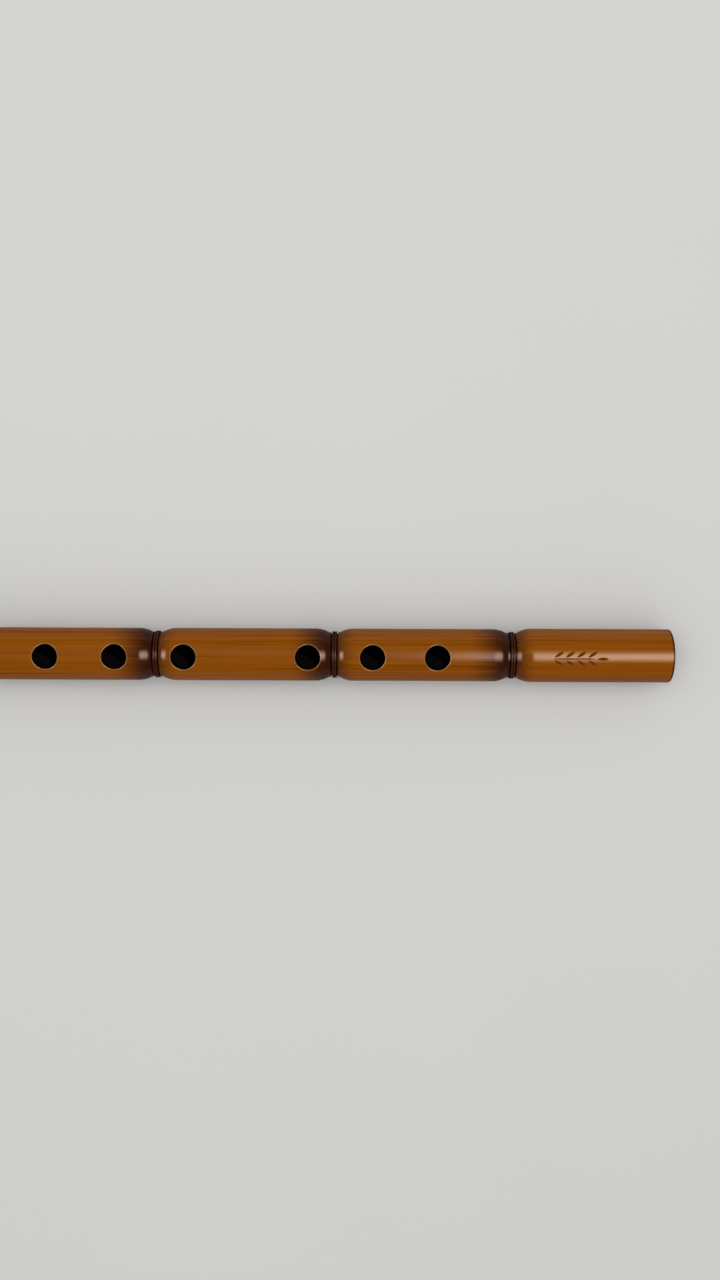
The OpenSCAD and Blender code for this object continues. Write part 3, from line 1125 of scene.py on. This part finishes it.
def light_room(s):
    """An evenly pale room, of which gloss shows only the part near the floor, and three soft lights."""
    world = bpy.data.worlds.new("Room")
    bpy.context.scene.world = world
    world.use_nodes = True
    world.node_tree.nodes.clear()
    tree = Tree(world.node_tree)
    up = tree.parts(tree.node("ShaderNodeTexCoord", out="Generated"))[2]
    mirrored = tree.mixed(tree.eased(up, 0.02, 0.32), (0.16, 0.155, 0.15), (0.02, 0.02, 0.02))
    in_gloss = tree.node("ShaderNodeLightPath", out="Is Glossy Ray")
    room = tree.mixed(in_gloss, (s.sky_strength,) * 3, mirrored)
    # Straight on, the room is as bright as the floor's far end, so that no horizon shows
    in_sight = tree.node("ShaderNodeLightPath", out="Is Camera Ray")
    room = tree.mixed(in_sight, room, tuple(channel * s.sky_strength for channel in s.floor_colour))
    tree.shown_by(tree.node("ShaderNodeBackground", {"Color": room}), "ShaderNodeOutputWorld")
    middle = Vector((-s.camera_middle, 0.0, 0.0))

    def towards(across, along, distance):
        """The place seen from the middle at two angles from straight above, in degrees."""
        lean = Vector((math.tan(math.radians(across)), math.tan(math.radians(along)), 1.0)).normalized()
        return middle + lean * distance

    # Each lamp's width and height in metres, its place and its tint
    for name, power, area, place, tint in (
        ("key", s.key_power, (1.5, 1.3), towards(-4, 15, 1.3), (1.0, 0.985, 0.965)),
        ("gloss_right", s.gloss_power, (1.55, 1.9), towards(24, 2, 1.9), (1.0, 0.78, 0.62)),
        ("gloss_left", s.side_power, (0.85, 1.6), towards(-54, 2, 1.9), (1.0, 0.83, 0.70)),
    ):
        soft_light(name, power, area, place, middle, tint, name != "key")


def place_camera(s):
    """The camera, almost straight above the foot end."""
    lean = s.camera_lean
    back = Vector((0.0, math.sin(lean), math.cos(lean)))
    axes = facing_axes(back)
    up = axes.col[1]
    facing = Vector((-s.camera_middle, 0.0, 0.0)) + up * s.camera_rise
    data = bpy.data.cameras.new("camera")
    data.lens = s.lens
    data.sensor_width = 36
    data.clip_start, data.clip_end = 0.01, 20
    camera = shown("camera", data)
    camera.rotation_euler = (axes @ Matrix.Rotation(s.camera_roll, 3, "Z")).to_euler()
    camera.location = facing + back * s.camera_distance
    bpy.context.scene.camera = camera
    bpy.context.scene.view_settings.view_transform = "Standard"


# ---------------------------------------------------------------- operators and panel


class FLUTE_OT_cane(bpy.types.Operator):
    """Builds the cane with its bore, holes, worked nodes and carved sprig"""

    bl_idname = "flute.cane"
    bl_label = "Cane"

    def execute(self, context):
        fitted(build_cane(context.scene.flute_cane), "reed", "cane", "cane_tube")
        return {"FINISHED"}


class FLUTE_OT_bindings(bpy.types.Operator):
    """Winds the lacquered cord round every node"""

    bl_idname = "flute.bindings"
    bl_label = "Node bindings"

    def execute(self, context):
        settings = context.scene.flute_bindings
        cord = lacquered_cord(settings)
        for number, (node, distance) in enumerate(zip(BINDINGS, NODE_DISTANCES), start=1):
            piece = build_binding(settings, f"cord_winding_{number}", distance, cord, number)
            fitted(piece, "reed", "cord", node)
        return {"FINISHED"}


class FLUTE_OT_ferrule(bpy.types.Operator):
    """Turns the brass ferrule of the head end"""

    bl_idname = "flute.ferrule"
    bl_label = "Head ferrule"

    def execute(self, context):
        settings = context.scene.flute_head
        fitted(build_ferrule(turned_brass(settings)), "reed", "ferrule", "head_ferrule")
        return {"FINISHED"}


class FLUTE_OT_lapping(bpy.types.Operator):
    """Winds the waxed thread round the tenon"""

    bl_idname = "flute.lapping"
    bl_label = "Tenon lapping"

    def execute(self, context):
        settings = context.scene.flute_head
        fitted(build_lapping(settings, waxed_thread(settings)), "lapping", "thread", "tenon_lapping")
        return {"FINISHED"}


class FLUTE_OT_mouthpiece(bpy.types.Operator):
    """Turns the horn mouthpiece with its tenon"""

    bl_idname = "flute.mouthpiece"
    bl_label = "Mouthpiece"

    def execute(self, context):
        settings = context.scene.flute_head
        fitted(build_mouthpiece(settings, polished_horn(settings)), "mouthpiece", "horn", "mouthpiece")
        return {"FINISHED"}


class FLUTE_OT_stage(bpy.types.Operator):
    """Sets up the table top, the lights and the camera"""

    bl_idname = "flute.stage"
    bl_label = "Stage"

    def execute(self, context):
        settings = context.scene.flute_stage
        build_floor(settings)
        light_room(settings)
        place_camera(settings)
        return {"FINISHED"}


OPERATORS = (
    FLUTE_OT_cane,
    FLUTE_OT_bindings,
    FLUTE_OT_ferrule,
    FLUTE_OT_lapping,
    FLUTE_OT_mouthpiece,
    FLUTE_OT_stage,
)
SETTINGS = {
    "flute_cane": CaneSettings,
    "flute_bindings": BindingSettings,
    "flute_head": HeadSettings,
    "flute_stage": StageSettings,
}


class FLUTE_PT_panel(bpy.types.Panel):
    """The flute's pieces and their settings"""

    bl_idname = "FLUTE_PT_panel"
    bl_label = "Cane Flute"
    bl_space_type = "VIEW_3D"
    bl_region_type = "UI"
    bl_category = "Flute"

    def draw(self, context):
        for operator in OPERATORS:
            self.layout.operator(operator.bl_idname)
        for name, group in SETTINGS.items():
            box = self.layout.box()
            for key in group.__annotations__:
                box.prop(getattr(context.scene, name), key)


def register():
    for group in SETTINGS.values():
        bpy.utils.register_class(group)
    for entry in (*OPERATORS, FLUTE_PT_panel):
        bpy.utils.register_class(entry)
    for name, group in SETTINGS.items():
        setattr(bpy.types.Scene, name, PointerProperty(type=group))


def unregister():
    for name in SETTINGS:
        delattr(bpy.types.Scene, name)
    for entry in (FLUTE_PT_panel, *reversed(OPERATORS)):
        bpy.utils.unregister_class(entry)
    for group in SETTINGS.values():
        bpy.utils.unregister_class(group)


def main():
    register()
    bpy.ops.flute.cane()
    bpy.ops.flute.bindings()
    bpy.ops.flute.ferrule()
    bpy.ops.flute.lapping()
    bpy.ops.flute.mouthpiece()
    bpy.ops.flute.stage()


if __name__ == "__main__":
    main()
